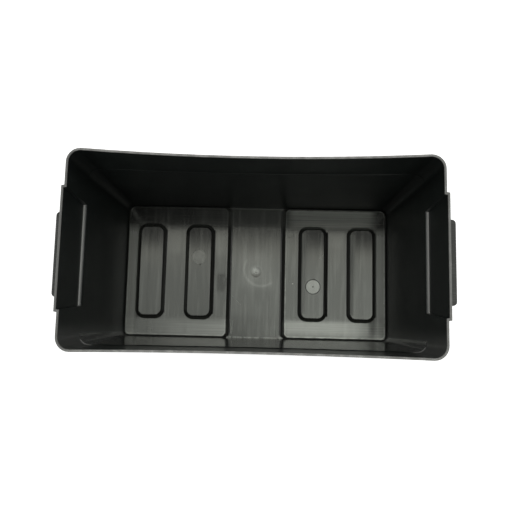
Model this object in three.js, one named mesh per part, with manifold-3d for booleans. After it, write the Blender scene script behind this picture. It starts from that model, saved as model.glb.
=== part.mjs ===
// Battery box: an open moulded tub for one long battery, with a lifting handle at each end.
// Sizes are in millimetres. +X runs along the length, +Y to the back wall and +Z up.
// The origin is at the middle of the underside, on the surface that the tub stands on.

import * as THREE from 'three';
import { mergeVertices } from 'three/addons/utils/BufferGeometryUtils.js';
import Module from 'manifold-3d';

const wasm = await Module();
wasm.setup();

const { degToRad, lerp } = THREE.MathUtils;
const sides = [-1, 1];

// Tub, over the outside of the rim
const rimLength = 382.4;
const rimWidth = 204.2;
const tubHeight = 226;
const rimCornerRadius = 14.5;
const rimEdgeRadius = 0.8;

// Skin of the moulding
const wallThickness = 2.5;
const floorThickness = 2.8;
const footEdgeRadius = 1.6;

// Floor, between the feet of the walls
const floorLength = 350;
const floorWidth = 176;
const floorCornerRadius = 8.2;

// The long walls draw in at mid-length, most at the rim and not at all at the floor
const backWallBow = 5.5;
const frontWallBow = 2.1;
const bowGrowth = 2;

// Step along both long walls, which dies away round the corners
const stepDepth = 60;
const stepWidth = 0.8;
const stepRise = 2.5;
const upperDraft = degToRad(2.6);

// Pocket pressed out of each end wall above the step; its cheeks close in towards the ledge
const pocketDepth = 3.1;
const pocketDraft = degToRad(3);
const pocketRimLength = 122.8;
const pocketLedgeLength = 111;
const pocketCornerRun = 0.6;
const ledgeUndersideRise = 0.4;

// Raised pads either side of the bare middle strip of the floor, sized over their flat tops.
// They slope down to the strip and end in a narrow groove along the walls.
const padInnerEdge = 39.2;
const padEndInset = 2.1;
const padSideInset = 1.7;
const padCornerRadius = 6;
const padHeight = 4;
const padSlopeRun = 7.3;
const padFootRadius = 6;
const padEdgeRadius = 1;
const padSideEdge = 0.6;
const padSideDraft = degToRad(8);

// Raised islands on each pad, sized over their flat tops and set a little towards the front
const islandCentres = [76, 141];
const islandShift = -0.8;
const islandLength = 29;
const islandWidth = 118.2;
const islandCornerRadius = 7.5;
const islandHeight = 4;
const islandSlopeRun = 5.3;
const islandFootRadius = 1;
const islandEdgeRadius = 1;

// Marks of the mould: a dish with the gate's stub at mid-floor, and round prints of ejector pins
const gatePlace = { x: 0, y: 0.5 };
const gateDishRadius = 8.4;
const gateDishDepth = 0.6;
const gateStubRadius = 1.3;
const gateStubTopRadius = 0.8;
const gateStubHeight = 0.9;
const floorPinPrint = { x: 45.6, y: 52, radius: 4 };
const islandPinPrints = [{ x: -76.9, y: 18.7, radius: 9.3 }, { x: 76.5, y: -18.4, radius: 9.7 }];
const pinPrintDepth = 0.15;

// Handle: a shelf with a skirt round its free edges, open below for the fingers
const handleProjection = 29.2;
const handleWidth = 93.2;
const handleTopDepth = 55.4;
const handleThickness = 2.5;
const handleCornerRadius = 4.4;
const handleEdgeRadius = 1.2;
const handleDraft = degToRad(1);
const skirtDepth = 14;
const gussetDepth = 27;

// Clearance between a handle and the wall that it seats on, and overrun of every cut
const seatClearance = 0.3;
const cutOverrun = 5;

// Fineness of the curves
const cornerSteps = 7;
const bowSteps = 12;
const edgeSteps = 3;
const ledgeSteps = 5;
const slopeSteps = 3;
const roundSteps = 32;
const dishSteps = 4;
const lowerWallSteps = 4;
const upperWallSteps = 2;

// Heights and half sizes that follow from the sizes above
const rimHalfLength = rimLength / 2 - wallThickness;
const rimHalfWidth = rimWidth / 2 - wallThickness;
const stepHeight = tubHeight - stepDepth;
const stepHalfWidth = rimHalfWidth - stepDepth * Math.tan(upperDraft) - stepWidth;
const stepAngle = Math.atan2(stepWidth, stepRise);
const ledgeRadius = pocketReach(stepHeight);
const padTop = floorThickness + padHeight;
const padOuterEdge = floorLength / 2 - padEndInset;
const padHalfWidth = floorWidth / 2 - padSideInset;
const handleTop = tubHeight - handleTopDepth;
const handleFoot = handleTop - gussetDepth;
const handleReach = endWallHalfLength(handleTop) + wallThickness + handleProjection;
const handleRoot = Math.min(endWallHalfLength(handleTop), endWallHalfLength(handleFoot))
  - handleCornerRadius;

/** Shares of the way from a first to a last place, both ends included. */
const sharesOf = (steps) => Array.from({ length: steps + 1 }, (_, step) => step / steps);

/** Angles of a quarter turn, from none to a right angle. */
const quarterAngles = (steps) => sharesOf(steps).map((share) => share * Math.PI / 2);

/** Points of a quarter round corner, anticlockwise, that starts at the given angle. */
function cornerArc(centreX, centreY, radius, startAngle, z) {
  return quarterAngles(cornerSteps).map((angle) => new THREE.Vector3(
    centreX + radius * Math.cos(startAngle + angle),
    centreY + radius * Math.sin(startAngle + angle),
    z,
  ));
}

/** Closed solid through a stack of rings, lowest first, with equally many points in each. */
function loft(rings) {
  const count = rings[0].length;
  const index = [];
  for (let level = 0; level + 1 < rings.length; level += 1) {
    for (let point = 0; point < count; point += 1) {
      const next = (point + 1) % count;
      const low = level * count;
      const high = low + count;
      index.push(low + point, low + next, high + next);
      index.push(low + point, high + next, high + point);
    }
  }
  const top = (rings.length - 1) * count;
  const bottomFaces = THREE.ShapeUtils.triangulateShape(rings[0], []);
  const topFaces = THREE.ShapeUtils.triangulateShape(rings.at(-1), []);
  bottomFaces.forEach(([a, b, c]) => index.push(c, b, a));
  topFaces.forEach(([a, b, c]) => index.push(top + a, top + b, top + c));
  const geometry = new THREE.BufferGeometry().setFromPoints(rings.flat());
  geometry.setIndex(index);
  return toSolid(geometry);
}

/** Solid for cutting and joining, from a closed geometry. */
function toSolid(geometry) {
  geometry.deleteAttribute('normal');
  geometry.deleteAttribute('uv');
  const merged = mergeVertices(geometry);
  return new wasm.Manifold(new wasm.Mesh({
    numProp: 3,
    vertProperties: new Float32Array(merged.attributes.position.array),
    triVerts: new Uint32Array(merged.index.array),
  }));
}

/** Geometry with flat faces, from a solid. */
function toGeometry(solid) {
  const { vertProperties, triVerts } = solid.getMesh();
  const geometry = new THREE.BufferGeometry();
  geometry.setAttribute('position', new THREE.BufferAttribute(vertProperties, 3));
  geometry.setIndex(new THREE.BufferAttribute(triVerts, 1));
  const faceted = geometry.toNonIndexed();
  faceted.computeVertexNormals();
  return faceted;
}

/** Share of the way up from the floor to the rim. */
function heightShare(z) {
  return (z - floorThickness) / (tubHeight - floorThickness);
}

/** Half length between the end walls, on their insides and away from the pockets. */
function endWallHalfLength(z) {
  return lerp(floorLength / 2, rimHalfLength, heightShare(z));
}

/** How far the inside of a pocket stands out from its end wall. */
function pocketReach(z) {
  const pocketFace = rimHalfLength + pocketDepth - (tubHeight - z) * Math.tan(pocketDraft);
  return pocketFace - endWallHalfLength(z);
}

/** Inside half width below the step, away from the bow of the long walls. */
function lowerHalfWidth(z) {
  return lerp(floorWidth / 2, stepHalfWidth, (z - floorThickness) / (stepHeight - floorThickness));
}

/** Inside half width above the step, away from the bow of the long walls. */
function upperHalfWidth(z) {
  return rimHalfWidth - (tubHeight - z) * Math.tan(upperDraft);
}

/** Half length of a pocket at a height, on the inside of the wall. */
function pocketHalfLength(z) {
  const share = Math.max((z - stepHeight) / stepDepth, 0);
  return lerp(pocketLedgeLength, pocketRimLength, share) / 2;
}

/** Levels of one skin of the wall below and above the step; reach is that of the pockets. */
const lowerLevel = (z, reach, skin) => ({ z, halfWidth: lowerHalfWidth(z), reach, skin });
const upperLevel = (z, reach, skin) => ({ z, halfWidth: upperHalfWidth(z), reach, skin });

/** Ring of points round the tub at one level, anticlockwise from the front of the right pocket. */
function wallRing({ z, halfWidth, reach, skin }) {
  const share = Math.max(heightShare(z), 0);
  const x = endWallHalfLength(z) + skin;
  const y = halfWidth + skin;
  const radius = lerp(floorCornerRadius, rimCornerRadius - wallThickness, share) + skin;
  const straightX = x - radius;
  const straightY = y - radius;
  const pocketY = pocketHalfLength(z) + skin;

  const endWall = (side) => [
    new THREE.Vector3(side * x, -side * pocketY, z),
    new THREE.Vector3(side * (x + reach), -side * (pocketY - pocketCornerRun), z),
    new THREE.Vector3(side * (x + reach), side * (pocketY - pocketCornerRun), z),
    new THREE.Vector3(side * x, side * pocketY, z),
  ];
  const longWall = (side, bow) => sharesOf(bowSteps).slice(1, -1).map((lengthShare) => {
    const along = lerp(1, -1, lengthShare);
    const drawnIn = bow * share ** bowGrowth * (1 - along * along);
    return new THREE.Vector3(side * along * straightX, side * (y - drawnIn), z);
  });
  return [
    ...endWall(1),
    ...cornerArc(straightX, straightY, radius, 0, z),
    ...longWall(1, backWallBow),
    ...cornerArc(-straightX, straightY, radius, Math.PI / 2, z),
    ...endWall(-1),
    ...cornerArc(-straightX, -straightY, radius, Math.PI, z),
    ...longWall(-1, frontWallBow),
    ...cornerArc(straightX, -straightY, radius, -Math.PI / 2, z),
  ];
}

/** Levels between two heights, both left out. */
function levelsBetween(low, high, steps, levelAt) {
  return sharesOf(steps).slice(1, -1).map((share) => levelAt(lerp(low, high, share)));
}

/** Levels of the wall from its foot to the step, with the quarter round of the ledges. */
function lowerLevels(foot, skin) {
  const roundRadius = Math.max(ledgeRadius - skin, seatClearance);
  const roundStart = stepHeight - ledgeRadius;
  const plain = levelsBetween(foot, roundStart, lowerWallSteps, (z) => lowerLevel(z, 0, skin));
  const rounded = quarterAngles(ledgeSteps).map((angle) => {
    const z = roundStart + roundRadius * Math.sin(angle);
    return lowerLevel(z, roundRadius * (1 - Math.cos(angle)), skin);
  });
  return [...plain, ...rounded];
}

/** Levels of the wall from the step to the start of the rounded rim. */
function upperLevels(skin) {
  const stepStart = stepHeight - skin * Math.tan(stepAngle / 2);
  const stepEnd = stepStart + stepRise;
  const undersides = skin > 0 ? [stepHeight - skin + ledgeUndersideRise, stepStart] : [];
  const band = levelsBetween(
    stepEnd,
    tubHeight - rimEdgeRadius,
    upperWallSteps,
    (z) => upperLevel(z, pocketReach(z), skin),
  );
  return [
    ...undersides.map((z) => lowerLevel(z, pocketReach(z), skin)),
    upperLevel(stepEnd, pocketReach(stepEnd), skin),
    ...band,
  ];
}

/** Levels of the rounded edge of the rim; the skin draws in or opens out by its radius. */
function rimLevels(skin, edgeTurn) {
  return quarterAngles(edgeSteps).map((angle) => {
    const z = tubHeight - rimEdgeRadius * (1 - Math.sin(angle));
    const turned = skin + edgeTurn * rimEdgeRadius * (1 - Math.cos(angle));
    return upperLevel(z, pocketReach(z), turned);
  });
}

/** Everything inside the tub's outer skin, as one solid. */
function tubBlock(skin) {
  const footLevels = quarterAngles(edgeSteps).map((angle) => {
    const z = footEdgeRadius * (1 - Math.cos(angle));
    return lowerLevel(z, 0, skin - footEdgeRadius * (1 - Math.sin(angle)));
  });
  const levels = [
    ...footLevels,
    ...lowerLevels(footEdgeRadius, skin),
    ...upperLevels(skin),
    ...rimLevels(skin, -1),
  ];
  return loft(levels.map(wallRing));
}

/** The space between the walls, from the floor to above the rim. */
function tubCavity() {
  const levels = [
    lowerLevel(floorThickness, 0, 0),
    ...lowerLevels(floorThickness, 0),
    ...upperLevels(0),
    ...rimLevels(0, 1),
  ];
  const rings = levels.map(wallRing);
  const above = rings.at(-1).map((point) => point.clone().setZ(tubHeight + cutOverrun));
  return loft([...rings, above]);
}

/** Ring of a rounded rectangle. */
function roundedRectangle({ x, y }, halfX, halfY, radius, z) {
  const straightX = halfX - radius;
  const straightY = halfY - radius;
  return [
    ...cornerArc(x + straightX, y + straightY, radius, 0, z),
    ...cornerArc(x - straightX, y + straightY, radius, Math.PI / 2, z),
    ...cornerArc(x - straightX, y - straightY, radius, Math.PI, z),
    ...cornerArc(x + straightX, y - straightY, radius, -Math.PI / 2, z),
  ];
}

/** Ring of a circle. */
function circle({ x, y }, radius, z) {
  return sharesOf(roundSteps).slice(1).map((share) => new THREE.Vector3(
    x + radius * Math.cos(share * 2 * Math.PI),
    y + radius * Math.sin(share * 2 * Math.PI),
    z,
  ));
}

/**
 * Slope of a raised form, from its foot to its flat top: how far each point stands out from the
 * top, and its height. A straight flank touches a hollow arc at the foot and a round one above.
 */
function slopeProfile({ run, height, footRadius, edgeRadius }) {
  const straightRise = height - footRadius - edgeRadius;
  const flankAngle = Math.atan2(straightRise, run)
    + Math.asin((footRadius + edgeRadius) / Math.hypot(run, straightRise));
  const angles = sharesOf(slopeSteps).map((share) => share * flankAngle);
  const foot = angles.map((angle) => ({
    outset: run - footRadius * Math.sin(angle),
    rise: footRadius * (1 - Math.cos(angle)),
  }));
  const edge = angles.reverse().map((angle) => ({
    outset: edgeRadius * Math.sin(angle),
    rise: height - edgeRadius * (1 - Math.cos(angle)),
  }));
  return [...foot, ...edge];
}

/** Slope of a pad, with how far its steep sides along the walls stand out at each height. */
function padProfile() {
  const slope = slopeProfile({
    run: padSlopeRun,
    height: padHeight,
    footRadius: padFootRadius,
    edgeRadius: padEdgeRadius,
  });
  const top = slope.length - 1;
  return slope.map(({ outset, rise }, level) => {
    const turn = Math.min((top - level) / slopeSteps, 1) * Math.PI / 2;
    const drafted = (padHeight - rise) * Math.tan(padSideDraft);
    return { outset, sideOutset: padSideEdge * Math.sin(turn) + drafted, rise };
  });
}

/** Slope of an island. */
function islandProfile() {
  return slopeProfile({
    run: islandSlopeRun,
    height: islandHeight,
    footRadius: islandFootRadius,
    edgeRadius: islandEdgeRadius,
  });
}

/** Solid through the levels of a raised form, sunk a little into what carries it. */
function raisedForm(levels, ringAt) {
  const sink = floorThickness / 2;
  return loft([{ ...levels[0], rise: -sink }, ...levels].map(ringAt));
}

/** A pad with its islands. Inset and lowered, it is the hollow that the underside has there. */
function padWithIslands(side, inset, drop) {
  const pad = raisedForm(padProfile(), ({ outset, sideOutset, rise }) => {
    const inner = padInnerEdge - outset + inset;
    const outer = padOuterEdge + sideOutset - inset;
    return roundedRectangle(
      { x: side * (inner + outer) / 2, y: 0 },
      (outer - inner) / 2,
      padHalfWidth + sideOutset - inset,
      padCornerRadius + sideOutset - inset,
      floorThickness - drop + rise,
    );
  });
  const islands = islandCentres.map((centre) => raisedForm(islandProfile(), ({ outset, rise }) => {
    const grow = outset - inset;
    return roundedRectangle(
      { x: side * centre, y: islandShift },
      islandLength / 2 + grow,
      islandWidth / 2 + grow,
      islandCornerRadius + grow,
      padTop - drop + rise,
    );
  }));
  return islands.reduce((form, island) => form.add(island), pad);
}

/** The shallow dish round the gate, as a cut that reaches up out of the floor. */
function gateDish() {
  const levels = sharesOf(dishSteps).map((share) => {
    const radius = lerp(gateStubRadius, gateDishRadius, share);
    return circle(gatePlace, radius, floorThickness - gateDishDepth * (1 - share * share));
  });
  return loft([...levels, circle(gatePlace, gateDishRadius, floorThickness + cutOverrun)]);
}

/** The stub that is left where the gate broke off, rooted in the floor below its dish. */
function gateStub() {
  const root = floorThickness / 2;
  const top = floorThickness - gateDishDepth + gateStubHeight;
  return loft([
    circle(gatePlace, gateStubRadius, root),
    circle(gatePlace, gateStubTopRadius, top),
  ]);
}

/** The cut that a pin's print makes in a flat face at a height. */
function pinPrint(print, height) {
  return loft([
    circle(print, print.radius, height - pinPrintDepth),
    circle(print, print.radius, height + cutOverrun),
  ]);
}

/** The tub: one even skin, so the underside is hollow wherever the floor stands up. */
function buildTub() {
  let tub = tubBlock(wallThickness).subtract(tubCavity());
  sides.forEach((side) => {
    tub = tub.add(padWithIslands(side, 0, 0));
    tub = tub.subtract(padWithIslands(side, wallThickness, floorThickness));
  });
  islandPinPrints.forEach((print) => {
    tub = tub.subtract(pinPrint(print, padTop + islandHeight));
  });
  return tub
    .subtract(pinPrint(floorPinPrint, padTop))
    .subtract(gateDish())
    .add(gateStub());
}

/** Block of a handle, reaching back into the wall that later trims it. */
function handleBlock(side, inset, top, bottom) {
  const halfX = (handleReach - inset - handleRoot) / 2;
  const halfY = handleWidth / 2 - inset;
  const ringAt = (z, grow) => roundedRectangle(
    { x: side * (handleRoot + halfX), y: 0 },
    halfX + grow,
    halfY + grow,
    handleCornerRadius - inset + grow,
    z,
  );
  const flare = (top - bottom) * Math.tan(handleDraft);
  const edge = quarterAngles(edgeSteps).map((angle) => ringAt(
    top - handleEdgeRadius * (1 - Math.sin(angle)),
    -handleEdgeRadius * (1 - Math.cos(angle)),
  ));
  return loft([ringAt(bottom, flare), ...edge]);
}

/** Wedge that slopes the foot of a handle's end walls up towards the free edge. */
function gussetWedge(side) {
  const wallX = endWallHalfLength(handleFoot);
  const outerX = handleReach + cutOverrun;
  const slope = (gussetDepth - skirtDepth) / (handleReach - wallX);
  const lowest = handleFoot - cutOverrun;
  const profile = new THREE.Shape([
    new THREE.Vector2(side * wallX, lowest),
    new THREE.Vector2(side * outerX, lowest),
    new THREE.Vector2(side * outerX, handleTop - skirtDepth + slope * cutOverrun),
    new THREE.Vector2(side * wallX, handleFoot),
  ]);
  const depth = handleWidth + 2 * cutOverrun;
  const wedge = new THREE.ExtrudeGeometry(profile, { depth, bevelEnabled: false });
  wedge.rotateX(Math.PI / 2);
  wedge.translate(0, depth / 2, 0);
  return toSolid(wedge);
}

/** A handle, trimmed to seat on the end wall and under the edge of its pocket. */
function buildHandle(side) {
  const block = handleBlock(side, 0, handleTop, handleFoot);
  const hollow = handleBlock(
    side,
    handleThickness,
    handleTop - handleThickness,
    handleFoot - cutOverrun,
  );
  return block
    .subtract(hollow)
    .subtract(gussetWedge(side))
    .subtract(tubBlock(wallThickness + seatClearance));
}

const blackPlastic = { color: 0x1c1d1e, roughness: 0.42, metalness: 0 };

/** Named mesh with a material of its own. */
function namedMesh(name, solid) {
  const mesh = new THREE.Mesh(toGeometry(solid), new THREE.MeshStandardMaterial(blackPlastic));
  mesh.name = name;
  return mesh;
}

const batteryBox = new THREE.Group();
batteryBox.add(namedMesh('tub', buildTub()));
batteryBox.add(namedMesh('left_handle', buildHandle(-1)));
batteryBox.add(namedMesh('right_handle', buildHandle(1)));

export default batteryBox;
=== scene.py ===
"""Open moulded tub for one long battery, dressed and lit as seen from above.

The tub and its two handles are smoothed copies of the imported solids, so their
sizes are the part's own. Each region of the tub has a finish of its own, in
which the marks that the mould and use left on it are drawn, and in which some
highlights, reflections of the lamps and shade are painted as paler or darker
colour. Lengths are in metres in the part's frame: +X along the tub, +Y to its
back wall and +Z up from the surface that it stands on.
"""

import logging
import math
from dataclasses import dataclass, fields
from enum import Enum
from functools import cached_property

import bmesh
import bpy
from mathutils import Euler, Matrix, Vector


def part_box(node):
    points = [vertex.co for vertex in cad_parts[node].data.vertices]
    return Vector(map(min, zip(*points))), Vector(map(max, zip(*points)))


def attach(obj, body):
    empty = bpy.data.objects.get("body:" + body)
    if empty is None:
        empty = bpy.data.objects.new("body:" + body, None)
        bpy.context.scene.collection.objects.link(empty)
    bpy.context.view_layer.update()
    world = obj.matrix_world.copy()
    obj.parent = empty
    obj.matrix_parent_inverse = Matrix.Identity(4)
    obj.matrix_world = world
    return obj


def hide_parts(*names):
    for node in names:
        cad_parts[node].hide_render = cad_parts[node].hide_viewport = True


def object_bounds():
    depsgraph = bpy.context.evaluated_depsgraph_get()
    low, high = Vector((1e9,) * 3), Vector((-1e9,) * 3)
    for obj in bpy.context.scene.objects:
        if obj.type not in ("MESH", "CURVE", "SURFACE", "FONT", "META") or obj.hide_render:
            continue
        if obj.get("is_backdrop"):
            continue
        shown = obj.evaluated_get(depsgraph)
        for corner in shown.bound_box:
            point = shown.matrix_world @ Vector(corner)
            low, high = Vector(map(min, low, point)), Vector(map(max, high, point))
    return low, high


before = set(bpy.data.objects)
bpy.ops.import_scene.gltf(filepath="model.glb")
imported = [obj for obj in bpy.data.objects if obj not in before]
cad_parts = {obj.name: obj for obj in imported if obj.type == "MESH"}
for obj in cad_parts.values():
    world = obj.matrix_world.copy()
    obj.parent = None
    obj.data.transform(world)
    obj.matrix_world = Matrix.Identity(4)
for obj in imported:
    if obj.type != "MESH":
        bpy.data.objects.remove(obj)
packed_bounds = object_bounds()

log = logging.getLogger("battery_tub")
MM = 0.001
SHARP_ANGLE = math.radians(35)
WELD_DISTANCE = 0.001 * MM
WHITE = (1.0, 1.0, 1.0)

Link = bpy.types.NodeSocket
Number = bpy.types.NodeSocket | float
Colour = tuple[float, float, float]
Size = tuple[float, float, float]
Spot = tuple[float, float]


class Side(Enum):
    """The two ends of the tub."""

    LEFT = -1
    RIGHT = 1


class Zone(Enum):
    """Regions of the tub with a finish of their own, in the order of its material slots."""

    FLOOR = 0
    WALL = 1
    RIM = 2
    OUTSIDE = 3
    UNDERSIDE = 4


@dataclass(frozen=True)
class Ramp:
    """An eased step: low up to its start and high past its end, which may be the lower one."""

    start: float
    end: float
    low: float = 0.0
    high: float = 1.0


@dataclass(frozen=True)
class Stripe:
    """1 within half a width of a middle, and eased to 0 over a soft edge outside it."""

    middle: float
    half: float
    soft: float


@dataclass(frozen=True)
class Area:
    """Steps along the axes and along the distances from the tub's middle, all multiplied."""

    x: tuple[Ramp | Stripe, ...] = ()
    y: tuple[Ramp | Stripe, ...] = ()
    z: tuple[Ramp | Stripe, ...] = ()
    away_x: tuple[Ramp | Stripe, ...] = ()
    away_y: tuple[Ramp | Stripe, ...] = ()


@dataclass(frozen=True)
class Patch:
    """A rectangle seen from above, with a soft edge outside it."""

    centre: Spot
    half: Spot
    soft: float


@dataclass(frozen=True)
class Dab:
    """A circle seen from above, with a soft edge outside it and a strength."""

    centre: Spot
    radius: float
    soft: float
    share: float = 1.0


@dataclass(frozen=True)
class Stroke:
    """A straight line seen from above, its edges included in its width."""

    start: Spot
    end: Spot
    width: float = 0.5 * MM


@dataclass(frozen=True)
class Grain:
    """Noise: the size of its features, its octaves, which stretch of it and how it is eased."""

    size: Size
    detail: float = 3.0
    seed: float = 0.0
    ramp: Ramp = Ramp(0.0, 1.0)


# 1 on one side of the tub's middle and 0 on the other.
NEGATIVE = Ramp(0.0, -MM)
POSITIVE = Ramp(0.0, MM)


class FinishSheet:
    """The nodes of one finish: its shader, its Object coordinates and what joins them."""

    def __init__(self, name: str) -> None:
        """Starts a material with a Principled shader.

        Args:
            name: Name of the material.
        """
        self.material = bpy.data.materials.new(name)
        self.material.use_nodes = True
        self.tree = self.material.node_tree
        self.shader = self.tree.nodes["Principled BSDF"]
        self.place = self.tree.nodes.new("ShaderNodeTexCoord").outputs["Object"]
        self.x, self.y, self.z = self.node("ShaderNodeSeparateXYZ", {0: self.place}).outputs

    @cached_property
    def away_x(self) -> Link:
        """Gives the distance from the tub's middle along its length."""
        return self.sum("ABSOLUTE", self.x)

    @cached_property
    def away_y(self) -> Link:
        """Gives the distance from the tub's middle along its width."""
        return self.sum("ABSOLUTE", self.y)

    def node(self, kind: str, inputs: dict, **settings: object) -> bpy.types.Node:
        """Adds a node.

        Args:
            kind: Identifier of the node.
            inputs: Sockets or values for its inputs, by name or number.
            **settings: Values for its own settings.

        Returns:
            The new node.
        """
        node = self.tree.nodes.new(kind)
        for setting, value in settings.items():
            setattr(node, setting, value)
        for key, value in inputs.items():
            self.feed(node.inputs[key], value)
        return node

    def feed(self, socket: Link, value: object) -> None:
        """Links a socket to an input, or sets the input's own value.

        Args:
            socket: Input that gets it.
            value: An output socket, a number, a vector or a colour.
        """
        if isinstance(value, bpy.types.NodeSocket):
            self.tree.links.new(value, socket)
        else:
            socket.default_value = value

    def paint(self, **values: object) -> None:
        """Feeds inputs of the shader, named with underscores for their spaces."""
        for name, value in values.items():
            self.feed(self.shader.inputs[name.replace("_", " ").title()], value)

    def sum(self, operation: str, *values: Number) -> Link:
        """Works out one number from others.

        Args:
            operation: Name of the operation.
            *values: Sockets or numbers that go into it.

        Returns:
            The result.
        """
        return self.node("ShaderNodeMath", dict(enumerate(values)), operation=operation).outputs[0]

    def product(self, *values: Number) -> Link:
        """Multiplies numbers.

        Args:
            *values: Sockets or numbers.

        Returns:
            Their product.
        """
        result = values[0]
        for value in values[1:]:
            result = self.sum("MULTIPLY", result, value)
        return result

    def total(self, *values: Number) -> Link:
        """Adds numbers.

        Args:
            *values: Sockets or numbers.

        Returns:
            Their total.
        """
        result = values[0]
        for value in values[1:]:
            result = self.sum("ADD", result, value)
        return result

    def ease(self, value: Number, step: Ramp | Stripe) -> Link:
        """Reads a ramp or a stripe along a measure.

        Args:
            value: Socket with the measure.
            step: The ramp or the stripe.

        Returns:
            Its value there.
        """
        if isinstance(step, Stripe):
            away = self.sum("ABSOLUTE", self.sum("SUBTRACT", value, step.middle))
            return self.ease(away, Ramp(step.half + step.soft, step.half))
        (start, low), (end, high) = sorted([(step.start, step.low), (step.end, step.high)])
        inputs = {"Value": value, "From Min": start, "From Max": end, "To Min": low, "To Max": high}
        node = self.node("ShaderNodeMapRange", inputs, interpolation_type="SMOOTHSTEP")
        return node.outputs["Result"]

    def area(self, area: Area) -> Link:
        """Multiplies the steps of an area.

        Args:
            area: The area.

        Returns:
            Its value at each place.
        """
        shares = []
        for measure in fields(area):
            along = getattr(self, measure.name)
            shares += [self.ease(along, step) for step in getattr(area, measure.name)]
        return self.product(*shares)

    def grain(self, grain: Grain) -> Link:
        """Adds noise, which isn't eased yet.

        Args:
            grain: Its features.

        Returns:
            The noise, from 0 to 1 with its middle at one half.
        """
        inputs = {
            "Vector": self.place,
            "Location": (grain.seed,) * 3,
            "Scale": tuple(1 / length for length in grain.size),
        }
        mapping = self.node("ShaderNodeMapping", inputs).outputs[0]
        inputs = {"Vector": mapping, "Scale": 1.0, "Detail": grain.detail}
        return self.node("ShaderNodeTexNoise", inputs).outputs["Fac"]

    def eased(self, *grains: Grain) -> Link:
        """Multiplies noises, each eased by its own ramp."""
        return self.product(*[self.ease(self.grain(grain), grain.ramp) for grain in grains])

    def blend(self, share: Number, first: Number, second: Number) -> Link:
        """Mixes two numbers.

        Args:
            share: How much of the second number to take.
            first: Socket or number at share 0.
            second: Socket or number at share 1.

        Returns:
            The mixed number.
        """
        return self.node("ShaderNodeMix", {0: share, 2: first, 3: second}).outputs[0]

    def tint(self, share: Number, first: Colour | Link, second: Colour) -> Link:
        """Mixes two colours.

        Args:
            share: How much of the second colour to take.
            first: Colour or socket at share 0.
            second: Colour at share 1.

        Returns:
            The mixed colour.
        """
        first = first if isinstance(first, bpy.types.NodeSocket) else (*first, 1)
        inputs = {0: share, 6: first, 7: (*second, 1)}
        return self.node("ShaderNodeMix", inputs, data_type="RGBA").outputs[2]

    def relief(self, height: Number, depth: float) -> Link:
        """Raises the surface by a height pattern.

        Args:
            height: Pattern from 0 to 1.
            depth: How far the surface rises from 0 to 1.

        Returns:
            The new normal.
        """
        return self.node("ShaderNodeBump", {"Height": height, "Distance": depth}).outputs[0]

    def lean(self, normal: Link, slope_x: Number, slope_y: Number, level: Number) -> Link:
        """Tilts a normal by small slopes.

        Args:
            normal: Normal to tilt.
            slope_x: How far it leans towards +X.
            slope_y: How far it leans towards +Y.
            level: How strongly it is turned upright.

        Returns:
            The tilted normal.
        """
        tilt = self.node("ShaderNodeCombineXYZ", {0: slope_x, 1: slope_y, 2: level}).outputs[0]
        leaning = self.node("ShaderNodeVectorMath", {0: normal, 1: tilt}, operation="ADD").outputs[0]
        return self.node("ShaderNodeVectorMath", {0: leaning}, operation="NORMALIZE").outputs[0]

    def patches(self, *patches: Patch) -> Link:
        """Draws soft rectangles.

        Args:
            *patches: The rectangles.

        Returns:
            What they add up to.
        """
        shares = []
        for patch in patches:
            across, along = [Stripe(*place, patch.soft) for place in zip(patch.centre, patch.half)]
            shares.append(self.area(Area(x=(across,), y=(along,))))
        return self.total(*shares)

    def distance(self, centre: Spot) -> Link:
        """Gives the distance from an upright axis.

        Args:
            centre: Where the axis stands.

        Returns:
            The distance.
        """
        across = self.sum("SUBTRACT", self.x, centre[0])
        along = self.sum("SUBTRACT", self.y, centre[1])
        return self.length(across, along)

    def length(self, across: Number, along: Number) -> Link:
        """Gives the length of a line from its reach along X and Y."""
        return self.sum("SQRT", self.total(self.product(across, across), self.product(along, along)))

    def discs(self, *dabs: Dab) -> Link:
        """Draws filled circles.

        Args:
            *dabs: The circles.

        Returns:
            What they add up to.
        """
        shares = []
        for dab in dabs:
            edge = Ramp(dab.radius + dab.soft, dab.radius, 0.0, dab.share)
            shares.append(self.ease(self.distance(dab.centre), edge))
        return self.total(*shares)

    def rings(self, *dabs: Dab) -> Link:
        """Draws the outlines of circles.

        Args:
            *dabs: The circles, whose soft edges are the lines' widths to either side.

        Returns:
            What they add up to.
        """
        shares = []
        for dab in dabs:
            line = self.ease(self.distance(dab.centre), Stripe(dab.radius, 0.0, dab.soft))
            shares.append(self.product(line, dab.share))
        return self.total(*shares)

    def arc(self, dab: Dab, middle: float, half_turn: float) -> Link:
        """Draws a part of a circle's outline.

        Args:
            dab: The circle.
            middle: Direction of the arc's middle, anticlockwise from +X.
            half_turn: Half of the angle that the arc spans.

        Returns:
            The arc's share.
        """
        across = self.product(self.sum("SUBTRACT", self.x, dab.centre[0]), math.cos(middle))
        along = self.product(self.sum("SUBTRACT", self.y, dab.centre[1]), math.sin(middle))
        end = dab.radius * math.cos(half_turn)
        near = self.ease(self.total(across, along), Ramp(end - dab.soft, end + dab.soft))
        return self.product(self.rings(dab), near)

    def beyond(self, across: Number, along: Number, half: Spot, radius: float) -> Link:
        """Gives how far a spot lies outside a rounded rectangle, below 0 inside it.

        Args:
            across: Distance from its middle along X.
            along: Distance from its middle along Y.
            half: Half of its size along X and Y.
            radius: Radius of its corners.

        Returns:
            The distance from its outline.
        """
        past_x = self.sum("SUBTRACT", self.sum("ABSOLUTE", across), half[0] - radius)
        past_y = self.sum("SUBTRACT", self.sum("ABSOLUTE", along), half[1] - radius)
        outside = self.length(self.sum("MAXIMUM", past_x, 0.0), self.sum("MAXIMUM", past_y, 0.0))
        inside = self.sum("MINIMUM", self.sum("MAXIMUM", past_x, past_y), 0.0)
        return self.sum("SUBTRACT", self.total(outside, inside), radius)

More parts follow.
